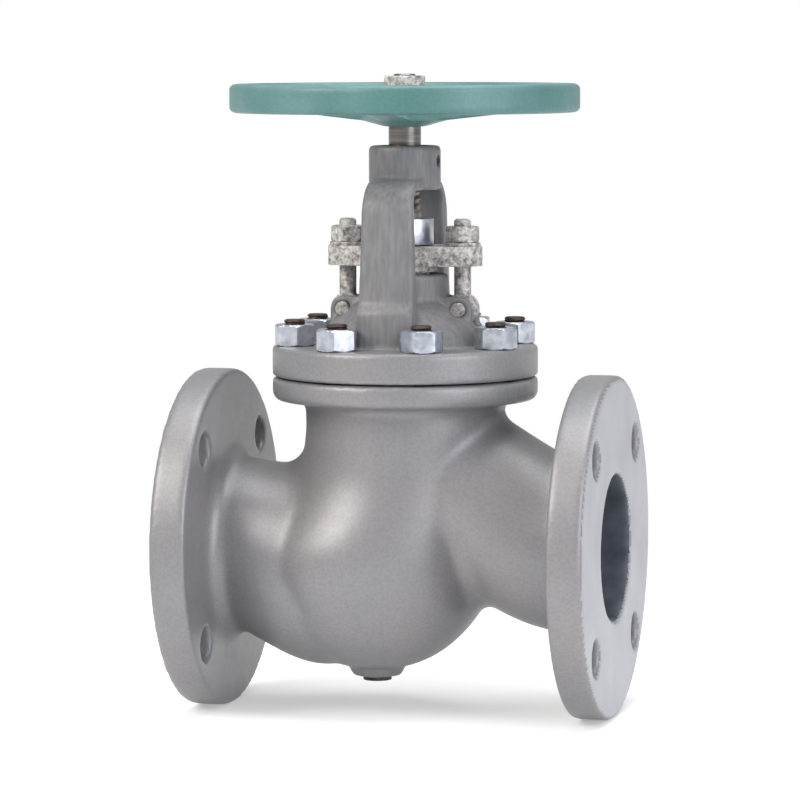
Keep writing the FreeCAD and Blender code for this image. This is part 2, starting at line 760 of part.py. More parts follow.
def yoke_frame():
    """Two arms, turned outside and flat on their sides, that rise from feet and arch over to the hub."""
    inner = yoke_inner_face
    outer_high = inner + yoke_arm_thickness - yoke_arm_taper / 2
    outer_low = inner + yoke_arm_thickness + yoke_arm_taper / 2
    low = bonnet_flange_top - 3
    top = yoke_shoulder
    bend = yoke_shoulder_round
    bend_rise = bend * (1 - math.sqrt(0.5))
    corners = [(0, top), (0, low), (yoke_foot_reach, low), (yoke_foot_reach, yoke_foot_top - 3),
               (outer_low, yoke_foot_top + 2), (outer_high, top - bend)]
    edges = []
    for start, end in zip(corners, corners[1:]):
        edges.append(Part.makeLine(point(start[0], 0, start[1]), point(end[0], 0, end[1])))
    edges.append(Part.Arc(point(outer_high, 0, top - bend), point(outer_high - bend_rise, 0, top - bend_rise),
                          point(outer_high - bend, 0, top)).toShape())
    edges.append(Part.makeLine(point(outer_high - bend, 0, top), point(0, 0, top)))
    outside = Part.Face(Part.Wire(edges)).revolve(point(0, 0, 0), UP, 360)

    foot = yoke_foot_width / 2
    wide = yoke_arm_width_low / 2
    narrow = yoke_arm_width_high / 2
    front = [(-foot, low), (-foot, yoke_foot_top - 3), (-wide, yoke_foot_top + 2), (-narrow, top + 1),
             (narrow, top + 1), (wide, yoke_foot_top + 2), (foot, yoke_foot_top - 3), (foot, low)]
    corners = [point(x, -yoke_foot_reach - 1, z) for x, z in front]
    slab = Part.Face(Part.makePolygon(corners + corners[:1])).extrude(point(0, 2 * yoke_foot_reach + 2, 0))

    reach = yoke_foot_width
    window = block(-reach, reach, -inner, inner, low - 1, yoke_window_top)
    top_edges = [edge for edge in window.Edges
                 if edge.BoundBox.ZMin > yoke_window_top - 1 and edge.BoundBox.XLength > reach]
    window = window.makeFillet(yoke_window_corner, top_edges)
    return outside.common(slab).cut(window)


def gland_lug(side):
    """Pair of ears on the dome that hold an eyebolt's pin; side is -1 or 1 along the pipe."""
    half = eye_width / 2 + face_gap + lug_wall
    top = gland_pin_height + eye_diameter / 2 - 1.5
    near = stuffing_box_diameter / 2 - 4
    lug = block(near, lug_reach, -half, half, bonnet_flange_top - 1, top)
    round_edges = [edge for edge in lug.Edges
                   if edge.BoundBox.XMin > lug_reach - 1 and edge.BoundBox.ZMin > top - 1]
    lug = lug.makeFillet(lug_round, round_edges)
    if side < 0:
        lug = lug.mirror(point(0, 0, 0), ALONG)
    return lug


def gland_slot(side):
    """Slot between the ears where the eyebolt swings."""
    half = eye_width / 2 + face_gap
    near = gland_bolt_reach - eye_diameter / 2 - 0.5
    far = lug_reach + 10
    top = stuffing_box_top + 5
    low = lug_slot_bottom
    if side > 0:
        return block(near, far, -half, half, low, top)
    return block(-far, -near, -half, half, low, top)


def bonnet():
    """One casting: bonnet flange, dome, stuffing box, gland lugs, yoke arms and yoke hub."""
    hub = rod(yoke_hub_diameter / 2, yoke_window_top, yoke_hub_top)
    top_edge = [edge for edge in hub.Edges if edge.BoundBox.ZMin > yoke_hub_top - 1]
    hub = hub.makeChamfer(yoke_hub_chamfer, top_edge)
    casting = dome().fuse([yoke_frame(), hub, gland_lug(-1), gland_lug(1)])
    casting = casting.cut(dome_hollow())
    for side in (-1, 1):
        casting = casting.cut(gland_slot(side))
        casting = casting.cut(bar_across(gland_pin_diameter / 2 + fit_gap, gland_pin_length,
                                         side * gland_bolt_reach, gland_pin_height))
    for x, y, turn in around(bonnet_stud_count, stud_reach, first_stud_angle):
        hole = rod(bonnet_stud_diameter / 2 + hole_gap, bonnet_flange_bottom - 1, bonnet_flange_top + 2, x, y)
        casting = casting.cut(hole)
    casting = casting.cut(rod(yoke_bush_diameter / 2 + fit_gap, yoke_window_top - 1, yoke_hub_top + 1))
    screw_hole = bar_along(set_screw_diameter / 2 + fit_gap, 0, yoke_hub_diameter, 0, set_screw_height)
    return casting.cut(screw_hole).removeSplitter()


def bonnet_pieces():
    """The one bonnet casting, held as two pieces that meet face to face: flanged dome and yoke."""
    casting = bonnet()
    far = face_to_face
    low = dome_top + yoke_cut_rise
    beside_box = rod(stuffing_box_diameter / 2 + yoke_cut_margin, low - 1, stuffing_box_top + 1)
    yoke_side = block(-far, far, -far, far, low, far).cut(beside_box)
    return {"bonnet": casting.cut(yoke_side), "yoke": casting.common(yoke_side)}


def gasket(low, inner):
    return tube(inner, recess_radius - fit_gap * 2, low, low + gasket_thickness)


def bellows_ring():
    """Fixed end of the bellows, held between the two gaskets."""
    return tube(ring_hole_diameter / 2, recess_radius - fit_gap * 2, bellows_ring_bottom, bellows_ring_top)


def backseat_bush():
    """Hard bush that the stem's shoulder meets when the valve is fully open."""
    bore = lower_stem_radius + running_gap
    outer = backseat_bush_diameter / 2
    low = backseat_bush_bottom
    return turned([(bore, low + 2), (bore + 2, low), (outer, low),
                   (outer, stuffing_box_bottom), (bore, stuffing_box_bottom)])


def packing_rings():
    rings = []
    for step in range(packing_ring_count):
        low = stuffing_box_bottom + step * packing_ring_height
        high = low + packing_ring_height
        rings.append(tube(lower_stem_radius + running_gap, packing_diameter / 2, low, high))
    return Part.makeCompound(rings)


def gland_follower():
    """Sleeve that presses the packing down, with a shoulder under the gland flange."""
    bore = lower_stem_radius + running_gap
    packing_top = stuffing_box_bottom + packing_ring_count * packing_ring_height
    shoulder_low = gland_flange_bottom - gland_follower_shoulder
    sleeve = packing_diameter / 2
    shoulder = gland_follower_shoulder_diameter / 2
    return turned([(bore, packing_top), (sleeve, packing_top), (sleeve, shoulder_low),
                   (shoulder, shoulder_low), (shoulder, gland_flange_bottom), (bore, gland_flange_bottom)])


def gland_flange():
    """Oval plate pulled down by the two eyebolts."""
    middle = gland_flange_middle_diameter / 2
    end = gland_flange_end_diameter / 2
    reach = gland_bolt_reach
    low = gland_flange_bottom
    lean = math.asin((middle - end) / reach)
    across = math.cos(lean)
    along = math.sin(lean)
    corner = {}
    for side in (-1, 1):
        for hand in (-1, 1):
            corner[side, hand, "middle"] = point(side * middle * along, hand * middle * across, low)
            corner[side, hand, "end"] = point(side * (reach + end * along), hand * end * across, low)
    edges = []
    for hand in (-1, 1):
        edges.append(Part.Arc(corner[-1, hand, "middle"], point(0, hand * middle, low),
                              corner[1, hand, "middle"]).toShape())
        for side in (-1, 1):
            edges.append(Part.makeLine(corner[side, hand, "middle"], corner[side, hand, "end"]))
    for side in (-1, 1):
        edges.append(Part.Arc(corner[side, -1, "end"], point(side * (reach + end), 0, low),
                              corner[side, 1, "end"]).toShape())
    outline = Part.Wire(Part.sortEdges(edges)[0])
    plate = Part.Face(outline).extrude(point(0, 0, gland_flange_thickness))
    plate = plate.cut(rod(lower_stem_radius + hole_gap, low - 1, gland_flange_top + 1))
    for side in (-1, 1):
        hole = rod(gland_bolt_diameter / 2 + hole_gap, low - 1, gland_flange_top + 1, side * reach)
        plate = plate.cut(hole)
    return plate


def gland_eyebolts():
    bolts = []
    for side in (-1, 1):
        x = side * gland_bolt_reach
        eye = bar_across(eye_diameter / 2, eye_width / 2, x, gland_pin_height)
        shank = rod(gland_bolt_diameter / 2, gland_pin_height, gland_bolt_top, x)
        top_edge = [edge for edge in shank.Edges if edge.BoundBox.ZMin > gland_bolt_top - 1]
        shank = shank.makeChamfer(bolt_end_chamfer, top_edge)
        hole = bar_across(gland_pin_diameter / 2 + fit_gap, eye_width, x, gland_pin_height)
        bolts.append(eye.fuse(shank).cut(hole))
    return Part.makeCompound(bolts)


def eyebolt_pins():
    half = gland_pin_length / 2
    pins = []
    for side in (-1, 1):
        pins.append(bar_across(gland_pin_diameter / 2, half, side * gland_bolt_reach, gland_pin_height))
    return Part.makeCompound(pins)


def gland_washers():
    washers = []
    for side in (-1, 1):
        washer = tube(gland_bolt_diameter / 2 + fit_gap, gland_washer_diameter / 2, gland_flange_top,
                      gland_flange_top + gland_washer_thickness)
        washer.translate(point(side * gland_bolt_reach, 0, 0))
        washers.append(washer)
    return Part.makeCompound(washers)


def gland_nuts():
    low = gland_flange_top + gland_washer_thickness
    nuts = []
    for side in (-1, 1):
        nut = hex_bar(gland_nut_across_flats, low, low + gland_nut_height, side * gland_bolt_reach)
        nuts.append(nut.cut(rod(gland_bolt_diameter / 2 + fit_gap, low - 1, low + gland_nut_height + 1,
                                side * gland_bolt_reach)))
    return Part.makeCompound(nuts)


def bonnet_studs():
    studs = []
    for x, y, turn in around(bonnet_stud_count, stud_reach, first_stud_angle):
        stud = rod(bonnet_stud_diameter / 2, body_flange_bottom + stud_hole_floor, bonnet_stud_top, x, y)
        top_edge = [edge for edge in stud.Edges if edge.BoundBox.ZMin > bonnet_stud_top - 1]
        studs.append(stud.makeChamfer(1.5, top_edge))
    return Part.makeCompound(studs)


def bonnet_nuts():
    nuts = []
    high = bonnet_flange_top + bonnet_nut_height
    for x, y, turn in around(bonnet_stud_count, stud_reach, first_stud_angle):
        nut = hex_bar(bonnet_nut_across_flats, bonnet_flange_top, high, x, y, turn + half_hexagon)
        hole = rod(bonnet_stud_diameter / 2 + fit_gap, bonnet_flange_top - 1, high + 1, x, y)
        nuts.append(nut.cut(hole))
    return Part.makeCompound(nuts)


def yoke_bush():
    """Threaded bush in the yoke's hub that the upper stem screws through."""
    outer = yoke_bush_diameter / 2
    bush = tube(upper_stem_radius + running_gap, outer, yoke_window_top, yoke_hub_top - yoke_bush_inset)
    dimple = bar_along(set_screw_diameter / 2, outer - set_screw_bite, outer * 2, 0, set_screw_height)
    return bush.cut(dimple)


def bush_set_screw():
    """Grub screw through the hub that locks the bush."""
    start = yoke_bush_diameter / 2 - set_screw_bite + face_gap
    end = yoke_hub_diameter / 2 - 0.5
    screw = bar_along(set_screw_diameter / 2 - fit_gap, start, end, 0, set_screw_height)
    socket = hex_bar(set_screw_socket, 0, 3)
    socket.rotate(point(0, 0, 0), ACROSS, 90)
    socket.translate(point(end - 2, 0, set_screw_height))
    return screw.cut(socket)


# Drive on top of the yoke

def upper_stem():
    """Screw that turns in the bush, with its head in the clamp and a square for the handwheel."""
    radius = upper_stem_radius
    neck = radius - groove_depth
    head_low = upper_head_low()
    head_top = upper_head_top()
    groove_top = head_top + groove_height
    screw = turned([(0, head_low), (radius, head_low), (radius, head_top), (neck, head_top),
                    (neck, groove_top), (radius, groove_top), (radius, wheel_hub_bottom),
                    (0, wheel_hub_bottom)])
    half = wheel_square / 2 - fit_gap
    square = block(-half, half, -half, half, wheel_hub_bottom - 1, wheel_hub_top)
    thread = rod(wheel_thread_diameter / 2 - 0.5, wheel_hub_top - 1, upper_stem_top)
    top_edge = [edge for edge in thread.Edges if edge.BoundBox.ZMin > upper_stem_top - 1]
    thread = thread.makeChamfer(bolt_end_chamfer, top_edge)
    square = square.common(rod(radius - 0.4, wheel_hub_bottom - 2, wheel_hub_top + 1))
    return screw.fuse([square, thread])


def rim():
    """Rim with a flat outer band and broken grip edges."""
    outer = handwheel_diameter / 2
    inner = outer - rim_width
    top = rim_bottom + rim_height
    far = rim_outer_chamfer
    near = rim_inner_chamfer
    return turned([(inner + near, rim_bottom), (outer - far, rim_bottom), (outer, rim_bottom + far),
                   (outer, top - far), (outer - far, top), (inner + near, top), (inner, top - near),
                   (inner, rim_bottom + near)])


def spoke():
    """Tapered spoke that drops from the rim to the hub, lying along +X."""
    skirt = wheel_hub_skirt_diameter / 2
    end = handwheel_diameter / 2 - rim_width / 2
    hub_low = wheel_hub_bottom + wheel_hub_skirt_rise
    rim_low = rim_bottom + spoke_rim_rise
    rim_top = rim_low + spoke_thickness
    middle = (skirt + end) / 2
    middle_low = rim_low - spoke_dish
    middle_top = middle_low + spoke_thickness + spoke_middle_thickening
    hub_top = hub_low + spoke_thickness + spoke_hub_thickening
    outline = [(0, hub_low), (skirt, hub_low), (middle, middle_low), (end, rim_low),
               (end, rim_top), (middle, middle_top), (skirt, hub_top), (0, hub_top)]
    side = [point(x, 0, z) for x, z in outline]
    web = Part.Face(Part.makePolygon(side + side[:1]))
    web.translate(point(0, -spoke_width_hub, 0))
    web = web.extrude(point(0, 2 * spoke_width_hub, 0))
    wide = spoke_width_hub / 2
    narrow = spoke_width_rim / 2
    plan = [point(0, -wide, 0), point(end, -narrow, 0), point(end, narrow, 0), point(0, wide, 0)]
    width = Part.Face(Part.makePolygon(plan + plan[:1])).extrude(point(0, 0, upper_stem_top))
    return web.common(width)


def handwheel():
    """Cast wheel: rim, dished spokes and a hub with a square hole."""
    nose = wheel_hub_nose_diameter / 2
    skirt = wheel_hub_skirt_diameter / 2
    hub_radius = wheel_hub_diameter / 2
    skirt_low = wheel_hub_bottom + wheel_hub_skirt_rise
    hub = turned([(0, wheel_hub_bottom), (nose, wheel_hub_bottom), (skirt, skirt_low),
                  (skirt, skirt_low + 5), (hub_radius, skirt_low + 8), (hub_radius - 2, wheel_hub_top - 1),
                  (hub_radius - 3, wheel_hub_top), (0, wheel_hub_top)])
    arms = []
    for x, y, turn in around(spoke_count, 1.0):
        arm = spoke()
        arm.rotate(point(0, 0, 0), UP, turn)
        arms.append(arm)
    wheel = hub.fuse(arms + [rim()])
    half = wheel_square / 2
    hole = block(-half, half, -half, half, wheel_hub_bottom - 1, wheel_hub_top + 1)
    return wheel.cut(hole)


def handwheel_washer():
    return tube(wheel_thread_diameter / 2, washer_diameter / 2, wheel_hub_top,
                wheel_hub_top + washer_thickness)


def handwheel_nut():
    low = wheel_hub_top + washer_thickness
    nut = hex_bar(wheel_nut_across_flats, low, low + wheel_nut_height, turn=10)
    return nut.cut(rod(wheel_thread_diameter / 2 - 0.5 + fit_gap, low - 1, low + wheel_nut_height + 1))


os.makedirs("parts", exist_ok=True)

pieces = {
    **body_pieces(),
    "drain_plug": drain_plug(),
    "seat_ring": seat_ring(),
    "disc": disc(),
    "disc_nut": disc_nut(),
    "lower_stem": lower_stem(),
    "bellows_lower_collar": bellows_lower_collar(),
    "bellows": bellows(),
    "bellows_ring": bellows_ring(),
    "lower_gasket": gasket(recess_floor, chamber_radius),
    "upper_gasket": gasket(bellows_ring_top, dome_cavity_radius),
    **bonnet_pieces(),
    "bonnet_studs": bonnet_studs(),
    "bonnet_nuts": bonnet_nuts(),
    "backseat_bush": backseat_bush(),
    "packing_rings": packing_rings(),
    "gland_follower": gland_follower(),
    "gland_flange": gland_flange(),
    "gland_eyebolts": gland_eyebolts(),
    "eyebolt_pins": eyebolt_pins(),
    "gland_washers": gland_washers(),
    "gland_nuts": gland_nuts(),
    "clamp_inlet_half": clamp_half(-1),
    "clamp_outlet_half": clamp_half(1),
    "clamp_screws": clamp_screws(),
    "clamp_nuts": clamp_nuts(),
    "yoke_bush": yoke_bush(),
    "bush_set_screw": bush_set_screw(),
    "upper_stem": upper_stem(),
    "handwheel": handwheel(),
    "handwheel_washer": handwheel_washer(),
    "handwheel_nut": handwheel_nut(),
}

for name, shape in pieces.items():
    save(name, shape)
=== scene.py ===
import math
import bmesh
import bpy
from mathutils import Matrix, Vector


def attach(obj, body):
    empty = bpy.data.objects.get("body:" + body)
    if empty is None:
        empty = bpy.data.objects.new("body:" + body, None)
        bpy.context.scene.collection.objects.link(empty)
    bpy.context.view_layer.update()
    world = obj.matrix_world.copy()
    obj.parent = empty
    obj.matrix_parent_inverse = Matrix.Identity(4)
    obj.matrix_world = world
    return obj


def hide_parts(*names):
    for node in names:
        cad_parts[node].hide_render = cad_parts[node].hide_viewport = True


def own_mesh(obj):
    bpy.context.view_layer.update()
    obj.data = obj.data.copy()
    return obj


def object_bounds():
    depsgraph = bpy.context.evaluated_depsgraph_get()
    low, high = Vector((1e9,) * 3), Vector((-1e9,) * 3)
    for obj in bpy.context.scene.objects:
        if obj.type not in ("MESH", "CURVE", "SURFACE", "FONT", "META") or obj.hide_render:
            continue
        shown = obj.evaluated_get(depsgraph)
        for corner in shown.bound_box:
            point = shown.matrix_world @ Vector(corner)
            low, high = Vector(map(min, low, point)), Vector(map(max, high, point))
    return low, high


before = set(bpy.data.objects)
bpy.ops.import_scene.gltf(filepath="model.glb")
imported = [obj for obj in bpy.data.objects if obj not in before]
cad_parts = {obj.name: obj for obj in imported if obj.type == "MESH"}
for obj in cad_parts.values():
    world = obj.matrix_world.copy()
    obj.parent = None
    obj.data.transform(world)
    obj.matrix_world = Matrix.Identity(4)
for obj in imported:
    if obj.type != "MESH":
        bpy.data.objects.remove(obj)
cad_low, cad_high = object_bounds()

# Body casting: a sand cast steel body with two pipe flanges and the S-shaped passage inside.
# The cast skin is slightly uneven under a satin silver-grey paint, and the gasket faces are turned flat
# with fine rings round the bore.
stem_x = 0.1205
pipe_end = 0.241
ring_size = 32
weld_distance = 1e-5
plane_slack = 2e-5


def linear(code):
    """sRGB hex colour as a linear colour."""
    shares = [int(code[place:place + 2], 16) / 255 for place in (1, 3, 5)]
    return tuple(v / 12.92 if v <= 0.04045 else ((v + 0.055) / 1.055) ** 2.4 for v in shares) + (1.0,)


def per_size(millimetres):
    """Noise scale whose patches are about this wide."""
    return 1000.0 / millimetres


def add_node(material, kind, inputs=(), stops=(), **settings):
    """Adds a node; inputs pair a socket with a value or an output, stops are a ramp's places and colours."""
    tree = material.node_tree
    made = tree.nodes.new(kind)
    for name, value in settings.items():
        setattr(made, name, value)
    for socket, value in inputs:
        if isinstance(value, bpy.types.NodeSocket):
            tree.links.new(value, made.inputs[socket])
        else:
            made.inputs[socket].default_value = value
    for step, (position, code) in enumerate(stops):
        band = made.color_ramp.elements
        element = band[step] if step < len(band) else band.new(position)
        element.position = position
        element.color = linear(code)
    return made


def new_surface(name, metallic, roughness):
    """Empty material with its shader; returns the material, the shader and Object coordinates."""
    material = bpy.data.materials.new(name)
    material.use_nodes = True
    shader = material.node_tree.nodes["Principled BSDF"]
    shader.inputs["Metallic"].default_value = metallic
    shader.inputs["Roughness"].default_value = roughness
    place = add_node(material, "ShaderNodeTexCoord").outputs["Object"]
    return material, shader, place


def relief(material, shader, layers):
    """Stacks bumps; each layer is a height output and its real depth in millimetres."""
    normal = None
    for height, depth in layers:
        inputs = [("Height", height), ("Distance", depth / 1000), ("Strength", 1.0)]
        if normal is not None:
            inputs.append(("Normal", normal))
        normal = add_node(material, "ShaderNodeBump", inputs).outputs["Normal"]
    material.node_tree.links.new(normal, shader.inputs["Normal"])


def cast_paint(name):
    """Satin aluminium paint on sand cast steel: nearly even grey over a fine grain, with a soft sheen."""
    material, shader, place = new_surface(name, 0.35, 0.40)
    patches, speckle, gloss, waves, grain = [
        add_node(material, "ShaderNodeTexNoise", [("Vector", place), ("Scale", per_size(width)),
                                                  ("Detail", detail)]).outputs["Fac"]
        for width, detail in ((60, 3), (1.6, 4), (9, 3), (18, 3), (1.4, 4))]
    colour = add_node(material, "ShaderNodeValToRGB", [("Fac", patches)],
                      [(0.30, "#8a8b8f"), (0.50, "#908f91"), (0.70, "#959394")]).outputs["Color"]
    dust = add_node(material, "ShaderNodeValToRGB", [("Fac", speckle)],
                    [(0.35, "#8f8d8b"), (0.62, "#ffffff")]).outputs["Color"]
    tone = add_node(material, "ShaderNodeMix", [("Factor", 0.16), (6, colour), (7, dust)],
                    data_type="RGBA", blend_type="MULTIPLY").outputs[2]
    rough = add_node(material, "ShaderNodeMapRange", [("Value", gloss), ("To Min", 0.36), ("To Max", 0.48)])
    material.node_tree.links.new(tone, shader.inputs["Base Color"])
    material.node_tree.links.new(rough.outputs["Result"], shader.inputs["Roughness"])
    relief(material, shader, [(waves, 0.08), (grain, 0.03)])
    return material


def turned_face(name):
    """Turned gasket face: a pale, nearly even grey. The real rings, about 0.8 mm apart, are too fine to show.

    A shallow wave stands for them. The texture sets its rings 0.314 of the given size apart, so 10 mm here.
    """
    material, shader, place = new_surface(name, 0.45, 0.42)
    clouds, grain = [
        add_node(material, "ShaderNodeTexNoise", [("Vector", place), ("Scale", per_size(width)),
                                                  ("Detail", detail)]).outputs["Fac"]
        for width, detail in ((40, 3), (0.9, 3))]
    rings = add_node(material, "ShaderNodeTexWave", [("Vector", place), ("Scale", per_size(ring_size)),
                                                     ("Distortion", 0.0), ("Detail", 0.0)],
                     wave_type="RINGS", rings_direction="X").outputs["Fac"]
    shade = add_node(material, "ShaderNodeValToRGB", [("Fac", clouds)], [(0.3, "#a6a8ad"), (0.7, "#b6b8bd")])
    material.node_tree.links.new(shade.outputs["Color"], shader.inputs["Base Color"])
    relief(material, shader, [(rings, 0.02), (grain, 0.01)])
    return material


def passage_painted_shade(name):
    """Painted shade: a dark blue-grey inside the passage, where little light reaches, mottled, dull and over
    a scaly bump.
    """
    material, shader, place = new_surface(name, 0.1, 0.7)
    clouds, scale = [
        add_node(material, "ShaderNodeTexNoise", [("Vector", place), ("Scale", per_size(width)),
                                                  ("Detail", detail)]).outputs["Fac"]
        for width, detail in ((12, 3), (2.5, 4))]
    shade = add_node(material, "ShaderNodeValToRGB", [("Fac", clouds)], [(0.3, "#41464f"), (0.7, "#5b616b")])
    material.node_tree.links.new(shade.outputs["Color"], shader.inputs["Base Color"])
    relief(material, shader, [(scale, 0.08)])
    return material


def merged_copy(nodes, cuts=()):
    """Joined copy of CAD nodes' meshes, opened at the planes (axis, place) where one casting was divided."""
    work = bmesh.new()
    for node in nodes:
        work.from_mesh(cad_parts[node].data)
    bmesh.ops.remove_doubles(work, verts=work.verts, dist=weld_distance)
    for axis, place in cuts:
        inner = [face for face in work.faces
                 if all(abs(corner.co[axis] - place) < plane_slack for corner in face.verts)]
        bmesh.ops.delete(work, geom=inner, context="FACES")
    mesh = bpy.data.meshes.new("_".join(nodes))
    work.to_mesh(mesh)
    work.free()
    return mesh


def link_piece(name, mesh, materials, body, replaced=()):
    """Puts a finished mesh on its body, with its materials, and hides the CAD nodes it stands for."""
    mesh.name = name
    mesh.materials.clear()
    for material in materials:
        mesh.materials.append(material)
    piece = bpy.data.objects.new(name, mesh)
    bpy.context.scene.collection.objects.link(piece)
    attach(piece, body)
    if replaced:
        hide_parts(*replaced)
    return piece


def plain_mesh(piece):
    """The evaluated mesh of a working object, which is then removed."""
    graph = bpy.context.evaluated_depsgraph_get()
    mesh = bpy.data.meshes.new_from_object(piece.evaluated_get(graph))
    bpy.data.objects.remove(piece)
    return mesh


def cast_skin(nodes, voxel, passes, cuts=()):
    """Softened skin of a casting: its corners get the small rounding that a sand mould leaves."""
    work = bpy.data.objects.new("work", merged_copy(nodes, cuts))
    bpy.context.scene.collection.objects.link(work)
    remesh = work.modifiers.new("skin", "REMESH")
    remesh.mode = "VOXEL"
    remesh.voxel_size = voxel
    remesh.adaptivity = 0.0
    soften = work.modifiers.new("soften", "SMOOTH")
    soften.factor = 0.5
    soften.iterations = passes
    mesh = plain_mesh(work)
    mesh.shade_smooth()
    return mesh


silver_paint = cast_paint("silver_grey_paint_on_cast_steel")
gasket_face = turned_face("turned_steel_gasket_face")
passage_shade_paint = passage_painted_shade("painted_shade_in_the_passage")
body_nodes = ["body_inlet_end", "body_neck", "body_bowl", "body_outlet_end"]
end_cut = 0.076
bowl_cut = -0.008
body_voxel = 0.0018
body_passes = 5
face_depth = 0.0012
face_flatness = 0.9
wall_slack = 0.0009
bowl_slack = 0.001
bowl_radius = 0.0585
bowl_centre = Vector((stem_x - 0.0165, 0, -0.005))
# Start, end and radius of each straight stretch: inlet pipe, dip, chamber, outlet's fall and outlet pipe.
passages = [(Vector((-0.001, 0, 0)), Vector((0.020, 0, 0)), 0.040),
            (Vector((0.018, 0, 0)), Vector((stem_x - 0.055, 0, -0.014)), 0.046),
            (Vector((stem_x, 0, -0.012)), Vector((stem_x, 0, 0.086)), 0.0465),
            (Vector((stem_x + 0.010, 0, 0.0436)), Vector((stem_x + 0.0855, 0, 0)), 0.0365),
            (Vector((stem_x + 0.0855, 0, 0)), Vector((pipe_end + 0.001, 0, 0)), 0.040)]


def faces_passage(spot, normal):
    """Whether a face lies on a passage's wall and looks into it."""
    if (spot - bowl_centre).length < bowl_radius + bowl_slack and (spot - bowl_centre).dot(normal) < 0:
        return True
    for start, end, reach in passages:
        way = end - start
        share = (spot - start).dot(way) / way.length_squared
        aside = spot - start - share * way
        if 0 <= share <= 1 and aside.length < reach + wall_slack and aside.dot(normal) < 0:
            return True
    return False


body_mesh = cast_skin(body_nodes, body_voxel, body_passes,
                      [(0, stem_x - end_cut), (0, stem_x + end_cut), (2, bowl_cut)])
link_piece("cast_body", body_mesh, [silver_paint, gasket_face, passage_shade_paint], "valve_body",
           body_nodes)
# Turned end faces take the gasket face material; faces that look into the passage take the dark blue-grey
# painted shade.
for face in body_mesh.polygons:
    if min(face.center.x, pipe_end - face.center.x) < face_depth and abs(face.normal.x) > face_flatness:
        face.material_index = 1
    elif faces_passage(face.center, face.normal):
        face.material_index = 2

# Bonnet: one casting of flange, dome, stuffing box, lugs and the two yoke arms that carry the hub.
# It has the body's paint, over a rougher skin above the flange, where the mould wall dragged upwards.
arm_drag = 6.0
yoke_cut = 0.1385
drag_low = 0.112
bonnet_voxel = 0.0013
bonnet_passes = 4


def yoke_paint(name):
    """The body's paint over upright drag marks, about 2 mm across and six times as long."""
    material, shader, place = new_surface(name, 0.18, 0.5)
    drawn = add_node(material, "ShaderNodeMapping", [("Vector", place),
                                                     ("Scale", (1.0, 1.0, 1.0 / arm_drag))]).outputs["Vector"]
    streaks = add_node(material, "ShaderNodeTexNoise", [("Vector", drawn), ("Scale", per_size(2.2)),
                                                        ("Detail", 4)]).outputs["Fac"]
    clouds, grain = [
        add_node(material, "ShaderNodeTexNoise", [("Vector", place), ("Scale", per_size(width)),
                                                  ("Detail", detail)]).outputs["Fac"]
        for width, detail in ((35, 3), (1.2, 4))]
    colour = add_node(material, "ShaderNodeValToRGB", [("Fac", clouds)],
                      [(0.3, "#797a7d"), (0.7, "#878687")]).outputs["Color"]
    dust = add_node(material, "ShaderNodeValToRGB", [("Fac", streaks)],
                    [(0.34, "#7d7b79"), (0.66, "#ffffff")]).outputs["Color"]
    tone = add_node(material, "ShaderNodeMix", [("Factor", 0.30), (6, colour), (7, dust)],
                    data_type="RGBA", blend_type="MULTIPLY").outputs[2]
    material.node_tree.links.new(tone, shader.inputs["Base Color"])
    relief(material, shader, [(streaks, 0.10), (grain, 0.05)])
    return material


drag_paint = yoke_paint("silver_grey_paint_on_rough_yoke")
bonnet_nodes = ["bonnet", "yoke"]
bonnet_mesh = cast_skin(bonnet_nodes, bonnet_voxel, bonnet_passes, [(2, yoke_cut)])
link_piece("cast_bonnet", bonnet_mesh, [silver_paint, drag_paint], "valve_body", bonnet_nodes)
for face in bonnet_mesh.polygons:
    face.material_index = 1 if face.center.z > drag_low else 0

# Bonnet studs and nuts: eight zinc plated hexagon nuts on dark rolled thread studs round the joint.
# One fastener is made and then set out round the circle, as it is drilled.
stud_circle = 0.062
stud_count = 8
stud_first = math.radians(22.5)
stud_radius = 0.006
stud_pitch = 0.00175
stud_low = 0.0829
stud_high = 0.1255
stud_thread_low = 0.112
stud_thread_high = 0.125
stud_thread_share = 0.6
nut_flats = 0.021
nut_height = 0.012
nut_seat = 0.1108
nut_face_share = 0.97
nut_corner_share = 0.985
nut_bore_chamfer = 0.0006


